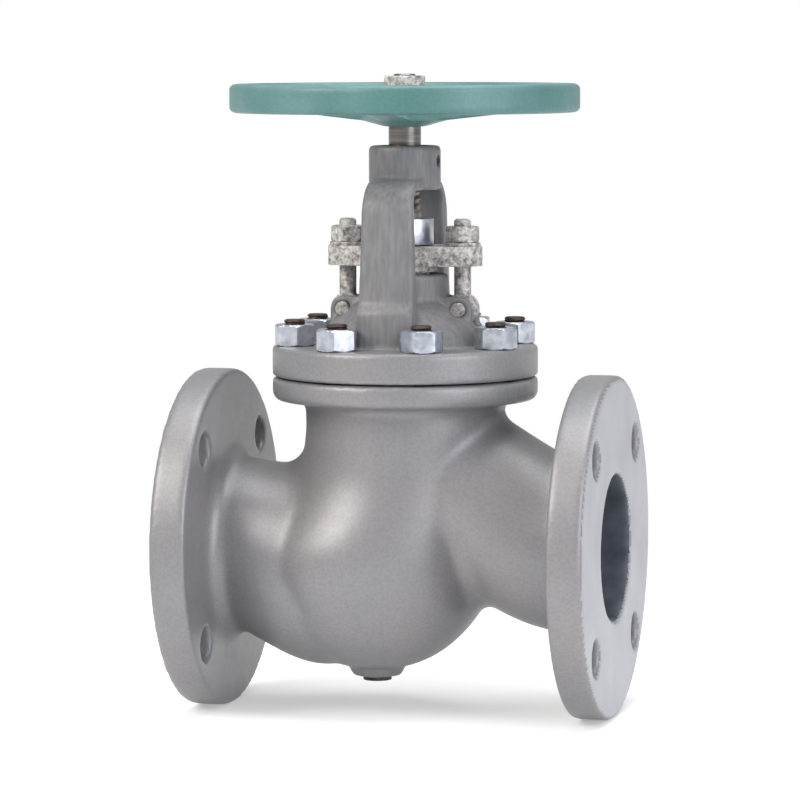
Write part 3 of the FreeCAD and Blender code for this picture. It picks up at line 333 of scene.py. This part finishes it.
def ring_tree(material):
    """Node tree that sets a fastener out round a circle, each turned to face the centre."""
    tree = bpy.data.node_groups.new("fastener_circle", "GeometryNodeTree")
    for name, kind in (("Geometry", "NodeSocketGeometry"), ("Circle radius", "NodeSocketFloat"),
                       ("Count", "NodeSocketInt"), ("First angle", "NodeSocketFloat"),
                       ("Centre", "NodeSocketVector")):
        tree.interface.new_socket(name, in_out="INPUT", socket_type=kind)
    tree.interface.new_socket("Geometry", in_out="OUTPUT", socket_type="NodeSocketGeometry")
    start = tree.nodes.new("NodeGroupInput")
    end = tree.nodes.new("NodeGroupOutput")
    index = tree.nodes.new("GeometryNodeInputIndex")
    step = tree.nodes.new("ShaderNodeMath")
    step.operation = "DIVIDE"
    step.inputs[0].default_value = math.tau
    angle = tree.nodes.new("ShaderNodeMath")
    angle.operation = "MULTIPLY_ADD"
    reach = tree.nodes.new("ShaderNodeCombineXYZ")
    swing = tree.nodes.new("ShaderNodeVectorRotate")
    swing.rotation_type = "Z_AXIS"
    points = tree.nodes.new("GeometryNodePoints")
    place = tree.nodes.new("GeometryNodeTransform")
    facing = tree.nodes.new("ShaderNodeCombineXYZ")
    copies = tree.nodes.new("GeometryNodeInstanceOnPoints")
    real = tree.nodes.new("GeometryNodeRealizeInstances")
    coat = tree.nodes.new("GeometryNodeSetMaterial")
    coat.inputs["Material"].default_value = material
    join = tree.links.new
    join(start.outputs["Count"], step.inputs[1])
    join(index.outputs["Index"], angle.inputs[0])
    join(step.outputs["Value"], angle.inputs[1])
    join(start.outputs["First angle"], angle.inputs[2])
    join(start.outputs["Circle radius"], reach.inputs["X"])
    join(reach.outputs["Vector"], swing.inputs["Vector"])
    join(angle.outputs["Value"], swing.inputs["Angle"])
    join(start.outputs["Count"], points.inputs["Count"])
    join(swing.outputs["Vector"], points.inputs["Position"])
    join(points.outputs[0], place.inputs["Geometry"])
    join(start.outputs["Centre"], place.inputs["Translation"])
    join(angle.outputs["Value"], facing.inputs["Z"])
    join(place.outputs["Geometry"], copies.inputs["Points"])
    join(start.outputs["Geometry"], copies.inputs["Instance"])
    join(facing.outputs["Vector"], copies.inputs["Rotation"])
    join(copies.outputs["Instances"], real.inputs["Geometry"])
    join(real.outputs["Geometry"], coat.inputs["Geometry"])
    join(coat.outputs["Geometry"], end.inputs["Geometry"])
    return tree


def set_out(single, material, radius, count, first, centre):
    """Repeats one fastener's mesh round a circle and returns the plain mesh."""
    tree = ring_tree(material)
    work = bpy.data.objects.new("work", single)
    bpy.context.scene.collection.objects.link(work)
    modifier = work.modifiers.new("circle", "NODES")
    modifier.node_group = tree
    wanted = {"Circle radius": radius, "Count": count, "First angle": first, "Centre": centre}
    for item in tree.interface.items_tree:
        if item.in_out == "INPUT" and item.name in wanted:
            modifier[item.identifier] = wanted[item.name]
    return plain_mesh(work)


def wrapped_rings(name, rows, capped, sharp_degrees=None):
    """Closed mesh over rings of points: both end rings are capped, or the last one joins the first."""
    work = bmesh.new()
    rings = [[work.verts.new(corner) for corner in row] for row in rows]
    count = len(rings[0])
    if not capped:
        rings.append(rings[0])
    for low, high in zip(rings, rings[1:]):
        for place in range(count):
            after = (place + 1) % count
            work.faces.new((low[place], low[after], high[after], high[place]))
    if capped:
        work.faces.new(rings[0][::-1])
        work.faces.new(rings[-1])
    bmesh.ops.recalc_face_normals(work, faces=work.faces)
    mesh = bpy.data.meshes.new(name)
    work.to_mesh(mesh)
    work.free()
    mesh.shade_smooth()
    if sharp_degrees is not None:
        mesh.set_sharp_from_angle(angle=math.radians(sharp_degrees))
    return mesh


def circle_row(reach, z, round_steps, centre_x=0.0):
    """Ring of points round an upright axis."""
    return [(centre_x + reach * math.cos(math.tau * step / round_steps),
             reach * math.sin(math.tau * step / round_steps), z) for step in range(round_steps)]


def helix(z, turn, radius, pitch, depth, low, high):
    """Reach of a thread's surface at a height and a share of a turn; it fades out at both ends."""
    wave = abs(((z / pitch - turn) % 1.0) * 2 - 1)
    fade = min(1.0, max(0.0, (z - low) / pitch), max(0.0, (high - z) / pitch))
    return radius - depth * fade * (1 - wave)


def threaded_bar(name, radius, pitch, low, high, thread_low, thread_high, chamfer=0.001, round_steps=40):
    """Round bar with a helical thread over part of its length."""
    heights = []
    z = low
    while z < high - 1e-9:
        heights.append(z)
        z += pitch / 7 if thread_low - pitch <= z <= thread_high + pitch else pitch
    heights.append(high)
    rows = []
    for z in heights:
        row = []
        for step in range(round_steps):
            turn = step / round_steps
            reach = min(helix(z, turn, radius, pitch, stud_thread_share * pitch, thread_low, thread_high),
                        radius - chamfer + (high - z), radius - chamfer + (z - low))
            row.append((reach * math.cos(turn * math.tau), reach * math.sin(turn * math.tau), z))
        rows.append(row)
    return wrapped_rings(name, rows, True, 38)


def hex_nut(name, flats, height, bore, round_steps=72):
    """Hexagon nut with turned chamfers that leave curved lines on its flats."""
    corner = flats / 2 / math.cos(math.radians(30))
    slope = math.tan(math.radians(30))
    rows = []
    for share in (0, 0.02, 0.05, 0.09, 0.13, 0.18, 0.5, 0.82, 0.87, 0.91, 0.95, 0.98, 1):
        z = height * share
        turned_reach = flats / 2 * nut_face_share + min(height - z, z) / slope
        row = []
        for step in range(round_steps):
            angle = math.tau * step / round_steps
            off = (angle + math.pi / 6) % (math.pi / 3) - math.pi / 6
            reach = min(flats / 2 / math.cos(off), corner * nut_corner_share, turned_reach)
            row.append((reach * math.cos(angle), reach * math.sin(angle), z))
        rows.append(row)
    for z, reach in ((height, bore + nut_bore_chamfer), (height - nut_bore_chamfer, bore),
                     (nut_bore_chamfer, bore), (0, bore + nut_bore_chamfer)):
        rows.append(circle_row(reach, z, round_steps))
    return wrapped_rings(name, rows, False, 25)


def zinc_plate(name):
    """Bright zinc plating: cloudy spangle with a faint blue cast and handling marks."""
    material, shader, place = new_surface(name, 1.0, 0.32)
    spangle, marks, grain = [
        add_node(material, "ShaderNodeTexNoise", [("Vector", place), ("Scale", per_size(width)),
                                                  ("Detail", detail)]).outputs["Fac"]
        for width, detail in ((5, 3), (2.5, 3), (1.1, 3))]
    colour = add_node(material, "ShaderNodeValToRGB", [("Fac", spangle)],
                      [(0.3, "#a9b0bd"), (0.55, "#c9cdd6"), (0.75, "#dfe1e6")])
    rough = add_node(material, "ShaderNodeMapRange", [("Value", marks), ("To Min", 0.24), ("To Max", 0.46)])
    material.node_tree.links.new(colour.outputs["Color"], shader.inputs["Base Color"])
    material.node_tree.links.new(rough.outputs["Result"], shader.inputs["Roughness"])
    relief(material, shader, [(grain, 0.015)])
    return material


def oiled_steel(name):
    """Black oiled steel with brown show-through on the crests."""
    material, shader, place = new_surface(name, 0.8, 0.5)
    wear, oil, grain = [
        add_node(material, "ShaderNodeTexNoise", [("Vector", place), ("Scale", per_size(width)),
                                                  ("Detail", detail)]).outputs["Fac"]
        for width, detail in ((4, 4), (2, 3), (0.8, 3))]
    colour = add_node(material, "ShaderNodeValToRGB", [("Fac", wear)],
                      [(0.3, "#3a332e"), (0.6, "#574b42"), (0.8, "#7b6a5b")])
    rough = add_node(material, "ShaderNodeMapRange", [("Value", oil), ("To Min", 0.40), ("To Max", 0.62)])
    material.node_tree.links.new(colour.outputs["Color"], shader.inputs["Base Color"])
    material.node_tree.links.new(rough.outputs["Result"], shader.inputs["Roughness"])
    relief(material, shader, [(grain, 0.02)])
    return material


bright_zinc = zinc_plate("bright_zinc_plate")
dark_steel = oiled_steel("black_oiled_steel")
stud = threaded_bar("stud", stud_radius, stud_pitch, stud_low, stud_high, stud_thread_low, stud_thread_high)
studs = set_out(stud, dark_steel, stud_circle, stud_count, stud_first, (stem_x, 0, 0))
link_piece("bonnet_stud_set", studs, [dark_steel], "valve_body", ["bonnet_studs"])
nut = hex_nut("nut", nut_flats, nut_height, stud_radius)
nuts = set_out(nut, bright_zinc, stud_circle, stud_count, stud_first, (stem_x, 0, nut_seat))
link_piece("bonnet_nut_set", nuts, [bright_zinc], "valve_body", ["bonnet_nuts"])

# Gland: an oval plate on a follower, pulled down by two swing eyebolts with washers and nuts.
# These small steel pieces stand in the weather, so they are mottled with a pale bloom over grey.
gland_reach = 0.033
gland_nut_flats = 0.017
gland_nut_height = 0.009
gland_nut_seat = 0.168
gland_bolt_radius = 0.00475


def weathered_steel(name):
    """Plain steel that has stood outside: a pale bloom, dull brown spots and a pitted skin."""
    material, shader, place = new_surface(name, 0.35, 0.66)
    bloom, spots, pits, grain = [
        add_node(material, "ShaderNodeTexNoise", [("Vector", place), ("Scale", per_size(width)),
                                                  ("Detail", detail)]).outputs["Fac"]
        for width, detail in ((3.2, 5), (1.3, 4), (2.4, 3), (0.9, 4))]
    colour = add_node(material, "ShaderNodeValToRGB", [("Fac", bloom)],
                      [(0.30, "#726b66"), (0.44, "#aba7a3"), (0.58, "#cbc9c7"),
                       (0.76, "#e0dfde")]).outputs["Color"]
    rust = add_node(material, "ShaderNodeValToRGB", [("Fac", spots)],
                    [(0.36, "#82746b"), (0.54, "#ffffff")]).outputs["Color"]
    tone = add_node(material, "ShaderNodeMix", [("Factor", 0.5), (6, colour), (7, rust)],
                    data_type="RGBA", blend_type="MULTIPLY").outputs[2]
    material.node_tree.links.new(tone, shader.inputs["Base Color"])
    relief(material, shader, [(pits, 0.12), (grain, 0.08)])
    return material


rusty_steel = weathered_steel("weathered_gland_steel")


def dress(node, material, body, edge=0.0003):
    """Replaces a machined node by its own form with small broken edges."""
    mesh = merged_copy([node])
    work_mesh = bmesh.new()
    work_mesh.from_mesh(mesh)
    bmesh.ops.dissolve_limit(work_mesh, angle_limit=math.radians(1.0), verts=work_mesh.verts,
                             edges=work_mesh.edges)
    work_mesh.to_mesh(mesh)
    work_mesh.free()
    work = bpy.data.objects.new("work", mesh)
    bpy.context.scene.collection.objects.link(work)
    bevel = work.modifiers.new("broken_edge", "BEVEL")
    bevel.width = edge
    bevel.segments = 2
    bevel.limit_method = "ANGLE"
    bevel.angle_limit = math.radians(40)
    bevel.use_clamp_overlap = True
    finished = plain_mesh(work)
    finished.shade_smooth()
    finished.set_sharp_from_angle(angle=math.radians(35))
    return link_piece(node + "_dressed", finished, [material], body, [node])


for node in ("gland_flange", "gland_washers", "gland_follower"):
    dress(node, rusty_steel, "valve_body")
gland_nut = hex_nut("gland_nut", gland_nut_flats, gland_nut_height, gland_bolt_radius)
gland_nuts = set_out(gland_nut, rusty_steel, gland_reach, 2, 0.0, (stem_x, 0, gland_nut_seat))
link_piece("gland_nut_pair", gland_nuts, [rusty_steel], "valve_body", ["gland_nuts"])
for node in ("gland_eyebolts", "eyebolt_pins"):
    dress(node, rusty_steel, "valve_body")

# Split clamp: two machined halves that grip both stems' heads, with ears that ride between the arms.
# Its screws and nuts are bought in, in oiled steel and zinc plate.
for node in ("clamp_inlet_half", "clamp_outlet_half", "clamp_nuts"):
    dress(node, bright_zinc, "stem")
dress("clamp_screws", dark_steel, "stem")

# Stems: turned and ground stainless bars. The upper one has a coarse 4 mm lead thread that runs in the
# yoke's bush, a plain neck, a square for the wheel and a small threaded end.
lead = 0.004
thread_share = 0.35
upper_radius = 0.009
upper_neck = 0.0065
upper_square = 0.00645
square_corner = 0.0004
head_low = 0.1744
head_high = 0.1774
head_edge = 0.0003
groove_high = 0.1799
screw_low = 0.181
screw_thread_low = 0.184
screw_high = 0.2215
neck_low = 0.2225
square_low = 0.232
square_high = 0.249
end_pitch = 0.002
end_low = 0.2495
end_thread_low = 0.251
end_thread_high = 0.2607
end_high = 0.261
stem_top = 0.2612
end_chamfer = 0.001


def turned_steel(name, shade_low="#a5a39f", shade_high="#cfccc6"):
    """Turned metal: faint rings round the stem, drawn 1 mm apart so that they show."""
    material, shader, place = new_surface(name, 1.0, 0.3)
    drawn = add_node(material, "ShaderNodeMapping", [("Vector", place), ("Scale", (0.05, 0.05, 1.0))])
    rings = add_node(material, "ShaderNodeTexNoise", [("Vector", drawn.outputs["Vector"]),
                                                      ("Scale", per_size(1.0)), ("Detail", 3)]).outputs["Fac"]
    smears = add_node(material, "ShaderNodeTexNoise", [("Vector", place), ("Scale", per_size(6)),
                                                       ("Detail", 3)])
    colour = add_node(material, "ShaderNodeValToRGB", [("Fac", rings)], [(0.3, shade_low), (0.7, shade_high)])
    rough = add_node(material, "ShaderNodeMapRange", [("Value", smears.outputs["Fac"]), ("To Min", 0.24),
                                                      ("To Max", 0.42)])
    material.node_tree.links.new(colour.outputs["Color"], shader.inputs["Base Color"])
    material.node_tree.links.new(rough.outputs["Result"], shader.inputs["Roughness"])
    relief(material, shader, [(rings, 0.012)])
    return material


stainless = turned_steel("turned_stainless_steel")
neck_steel = turned_steel("weathered_turned_stem", "#64625f", "#8b8884")


def upper_stem_rows(round_steps=64):
    """Rings of the upper stem from its head in the clamp to its threaded end."""
    plain = [(head_low, upper_radius - head_edge), (head_low + head_edge, upper_radius),
             (head_high - head_edge, upper_radius), (head_high, upper_radius - head_edge),
             (head_high, upper_neck), (groove_high, upper_neck), (groove_high, upper_radius)]
    screw_step = lead / 14
    end_step = end_pitch / 7
    heights = [z for z, reach in plain]
    heights += [screw_low + step * screw_step for step in range(int((screw_high - screw_low) / screw_step))]
    heights += [neck_low, square_low, square_low, square_high, square_high]
    heights += [end_low + step * end_step for step in range(int((end_high - end_low) / end_step))]
    heights.append(stem_top)
    rows = []
    for place, z in enumerate(heights):
        row = []
        for step in range(round_steps):
            turn = step / round_steps
            angle = turn * math.tau
            flat = upper_square / max(abs(math.cos(angle)), abs(math.sin(angle)))
            if place < len(plain):
                reach = plain[place][1]
            elif z < square_low or heights[place - 1] < square_low:
                reach = helix(z, turn, upper_radius, lead, thread_share * lead, screw_thread_low, screw_high)
            elif z < square_high or heights[place - 1] < square_high:
                reach = min(flat, upper_radius - square_corner)
            else:
                reach = min(helix(z, turn, upper_neck, end_pitch, thread_share * end_pitch, end_thread_low,
                                  end_thread_high), upper_neck - end_chamfer + (stem_top - z))
            row.append((stem_x + reach * math.cos(angle), reach * math.sin(angle), z))
        rows.append(row)
    return rows


upper_stem_mesh = wrapped_rings("upper_stem_turned", upper_stem_rows(), True, 38)
link_piece("upper_stem_turned", upper_stem_mesh, [neck_steel], "drive", ["upper_stem"])
dress("lower_stem", stainless, "stem")
bush_bronze = turned_steel("machined_bronze", "#7d5c34", "#a8844f")
dress("yoke_bush", bush_bronze, "valve_body")
dress("bush_set_screw", dark_steel, "valve_body", 0.0001)

# Handwheel: a grey iron casting with four dished spokes, brushed with blue-green enamel.
# The enamel has settled into soft waves and drifts slowly in colour along the rim.
wheel_voxel = 0.0013
wheel_passes = 4
wheel_nut_flats = 0.022
wheel_nut_height = 0.0092
wheel_nut_bore = 0.00655
wheel_nut_seat = 0.251
wheel_nut_turn = math.radians(10)


def green_enamel(name):
    """Brushed enamel on cast iron: slow colour drift along the rim and an uneven gloss."""
    material, shader, place = new_surface(name, 0.0, 0.42)
    drift, specks, gloss, waves, grain = [
        add_node(material, "ShaderNodeTexNoise", [("Vector", place), ("Scale", per_size(width)),
                                                  ("Detail", detail)]).outputs["Fac"]
        for width, detail in ((55, 2), (1.8, 4), (7, 3), (11, 3), (1.5, 3))]
    colour = add_node(material, "ShaderNodeValToRGB", [("Fac", drift)],
                      [(0.30, "#497672"), (0.50, "#588381"), (0.72, "#759797")]).outputs["Color"]
    dust = add_node(material, "ShaderNodeValToRGB", [("Fac", specks)],
                    [(0.36, "#a6b8b6"), (0.60, "#ffffff")]).outputs["Color"]
    tone = add_node(material, "ShaderNodeMix", [("Factor", 0.18), (6, colour), (7, dust)],
                    data_type="RGBA", blend_type="MULTIPLY").outputs[2]
    rough = add_node(material, "ShaderNodeMapRange", [("Value", gloss), ("To Min", 0.34), ("To Max", 0.50)])
    material.node_tree.links.new(tone, shader.inputs["Base Color"])
    material.node_tree.links.new(rough.outputs["Result"], shader.inputs["Roughness"])
    relief(material, shader, [(waves, 0.09), (grain, 0.02)])
    return material


enamel = green_enamel("blue_green_enamel_on_cast_iron")
wheel_mesh = cast_skin(["handwheel"], wheel_voxel, wheel_passes)
link_piece("cast_handwheel", wheel_mesh, [enamel], "drive", ["handwheel"])
wheel_nut = hex_nut("wheel_nut", wheel_nut_flats, wheel_nut_height, wheel_nut_bore)
wheel_nut.transform(Matrix.Translation((stem_x, 0, wheel_nut_seat)) @ Matrix.Rotation(wheel_nut_turn, 4, "Z"))
link_piece("wheel_nut", wheel_nut, [rusty_steel], "drive", ["handwheel_nut"])
dress("handwheel_washer", bright_zinc, "drive")

# Bellows: a thin stainless sleeve, hydroformed into round folds and welded to its two end rings.
# In service it shortens as the stem lifts, its folds closing up towards the fixed ring; here the folds are
# built evenly at one length.
fold_count = 14
fold_low = 0.043
fold_high = 0.085
fold_inner = 0.0152
fold_outer = 0.0258
fold_wall = 0.0005


def folded_sleeve_rows(round_steps=96, fold_steps=12):
    """Rings up the sleeve's outside and down its inside, one wall thickness apart."""
    rows = []
    total = fold_count * fold_steps
    for side in (0, 1):
        for step in (range(total + 1) if side == 0 else range(total, -1, -1)):
            share = step / total
            wave = 0.5 - 0.5 * math.cos(math.tau * fold_count * share)
            reach = fold_inner + fold_wall + (fold_outer - fold_inner - fold_wall) * wave - side * fold_wall
            rows.append(circle_row(reach, fold_low + (fold_high - fold_low) * share, round_steps, stem_x))
    return rows


fine_steel = turned_steel("formed_stainless_sleeve", "#b5b3af", "#dcdad5")
bellows_mesh = wrapped_rings("bellows_folds", folded_sleeve_rows(), False)
bellows_piece = link_piece("bellows_folds", bellows_mesh, [fine_steel], "valve_body",
                           ["bellows"])
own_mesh(bellows_piece)

# Inner rings: the seat, the disc and the bellows' end rings are turned steel, and the gaskets and
# packing are pressed graphite. All are hidden in the assembled valve, apart from the oiled drain plug
# that is screwed into the boss under the belly.


def graphite(name):
    """Pressed graphite: near black with a braided glint about 1.5 mm across."""
    material, shader, place = new_surface(name, 0.2, 0.55)
    weave = add_node(material, "ShaderNodeTexVoronoi", [("Vector", place), ("Scale", per_size(1.5))])
    colour = add_node(material, "ShaderNodeValToRGB", [("Fac", weave.outputs["Distance"])],
                      [(0.1, "#2b2c2e"), (0.7, "#48494c")])
    material.node_tree.links.new(colour.outputs["Color"], shader.inputs["Base Color"])
    relief(material, shader, [(weave.outputs["Distance"], 0.06)])
    return material


pressed_graphite = graphite("pressed_graphite")
for node, body, slot in (("seat_ring", "valve_body", "seat_alloy"), ("disc", "stem", "seat_alloy"),
                         ("disc_nut", "stem", "stem_steel"), ("backseat_bush", "valve_body", "stem_steel"),
                         ("bellows_ring", "valve_body", "bellows_steel"),
                         ("bellows_lower_collar", "stem", "bellows_steel")):
    dress(node, stainless, body)
for node in ("lower_gasket", "upper_gasket", "packing_rings"):
    dress(node, pressed_graphite, "valve_body", 0.0001)
dress("drain_plug", dark_steel, "valve_body")

# Floor and light: the valve stands on its two flanges on a pale sweep, under wide soft lamps.
floor_height = cad_low.z
floor_reach = 9
shadow_end = 0.22
white_start = 0.75
floor_lift = 0.35
world_light = 0.55
floor_mesh = bpy.data.meshes.new("floor")
floor_corners = [(across * floor_reach, along * floor_reach, floor_height)
                 for across, along in ((-1, -1), (1, -1), (1, 1), (-1, 1))]
floor_mesh.from_pydata(floor_corners, [], [(0, 1, 2, 3)])
floor = bpy.data.objects.new("floor", floor_mesh)
bpy.context.scene.collection.objects.link(floor)
floor_paint, floor_shader, floor_place = new_surface("pale_floor", 0.0, 0.9)
floor_shader.inputs["Base Color"].default_value = linear("#e4e4e4")
floor_shader.inputs["Specular IOR Level"].default_value = 0.1
rays = add_node(floor_paint, "ShaderNodeLightPath")
seen = add_node(floor_paint, "ShaderNodeMath", [(0, rays.outputs["Is Camera Ray"]),
                                                (1, rays.outputs["Is Glossy Ray"])], operation="MAXIMUM")
centred = add_node(floor_paint, "ShaderNodeVectorMath", [(0, floor_place), (1, (stem_x, 0, floor_height))],
                   operation="DISTANCE")
away = add_node(floor_paint, "ShaderNodeMapRange", [("Value", centred.outputs["Value"]),
                                                    ("From Min", shadow_end), ("From Max", white_start),
                                                    ("To Min", 0.0), ("To Max", 1.0)],
                interpolation_type="SMOOTHSTEP")
white_share = add_node(floor_paint, "ShaderNodeMath", [(0, away.outputs["Result"]),
                                                       (1, seen.outputs["Value"])], operation="MULTIPLY")
dim = add_node(floor_paint, "ShaderNodeMapRange", [("Value", seen.outputs["Value"]), ("To Max", floor_lift)])
sheen = add_node(floor_paint, "ShaderNodeEmission", [("Strength", dim.outputs["Result"])])
near = add_node(floor_paint, "ShaderNodeAddShader", [(0, floor_shader.outputs["BSDF"]),
                                                     (1, sheen.outputs["Emission"])])
white = add_node(floor_paint, "ShaderNodeEmission", [("Strength", 1.0)])
both = add_node(floor_paint, "ShaderNodeMixShader", [(0, white_share.outputs["Value"]),
                                                     (1, near.outputs["Shader"]),
                                                     (2, white.outputs["Emission"])])
floor_paint.node_tree.links.new(both.outputs["Shader"],
                                floor_paint.node_tree.nodes["Material Output"].inputs["Surface"])
floor_mesh.materials.append(floor_paint)

world = bpy.data.worlds.new("studio")
bpy.context.scene.world = world
world.use_nodes = True
backdrop = world.node_tree.nodes["Background"]
paths = add_node(world, "ShaderNodeLightPath")
shown = add_node(world, "ShaderNodeMath", [(0, paths.outputs["Is Camera Ray"]),
                                           (1, paths.outputs["Is Transmission Ray"])], operation="MAXIMUM")
glow = add_node(world, "ShaderNodeMapRange", [("Value", shown.outputs["Value"]), ("To Min", world_light),
                                              ("To Max", 1.0)])
world.node_tree.links.new(glow.outputs["Result"], backdrop.inputs["Strength"])
backdrop.inputs["Color"].default_value = (1, 1, 1, 1)

target = Vector((stem_x, 0, 0.07))
for name, place, size, watts, tint in (("key", (-1.3, -1.5, 1.5), 1.3, 38, "#fffaf5"),
                                       ("fill", (2.1, -1.1, 0.8), 1.6, 28, "#f4f6ff"),
                                       ("top", (0.2, 0.1, 1.9), 1.4, 25, "#ffffff")):
    lamp = bpy.data.lights.new(name, "AREA")
    lamp.size = size
    lamp.energy = watts
    lamp.color = linear(tint)[:3]
    holder = bpy.data.objects.new(name, lamp)
    holder.location = place
    holder.rotation_euler = (target - Vector(place)).to_track_quat("-Z", "Y").to_euler()
    bpy.context.scene.collection.objects.link(holder)

# Camera: a long lens a little above the handwheel, turned 14.5 degrees towards the outlet.
# Its focal length is given in pixels of an 800 pixel frame.
focal_pixels = 3975.0
frame_pixels = 800
sensor_width = 36
camera_reach = 2.212
camera_height = 0.27705
turn, yaw = math.radians(14.477), math.radians(0.0775)
pitch, roll = math.radians(-5.103), math.radians(-0.126)
forward = Vector((-math.sin(turn + yaw) * math.cos(pitch), math.cos(turn + yaw) * math.cos(pitch),
                  math.sin(pitch)))
right = forward.cross(Vector((0, 0, 1))).normalized()
above = right.cross(forward)
side = math.cos(roll) * right + math.sin(roll) * above
upright = -math.sin(roll) * right + math.cos(roll) * above
camera = bpy.data.objects.new("camera", bpy.data.cameras.new("camera"))
camera.data.lens = focal_pixels / frame_pixels * sensor_width
camera.data.sensor_width = sensor_width
camera.data.clip_end = 50
spot = Vector((stem_x + camera_reach * math.sin(turn), -camera_reach * math.cos(turn), camera_height))
camera.matrix_world = Matrix(((side.x, upright.x, -forward.x, spot.x),
                              (side.y, upright.y, -forward.y, spot.y),
                              (side.z, upright.z, -forward.z, spot.z), (0, 0, 0, 1)))
bpy.context.scene.collection.objects.link(camera)
bpy.context.scene.camera = camera
bpy.context.scene.view_settings.view_transform = "Standard"
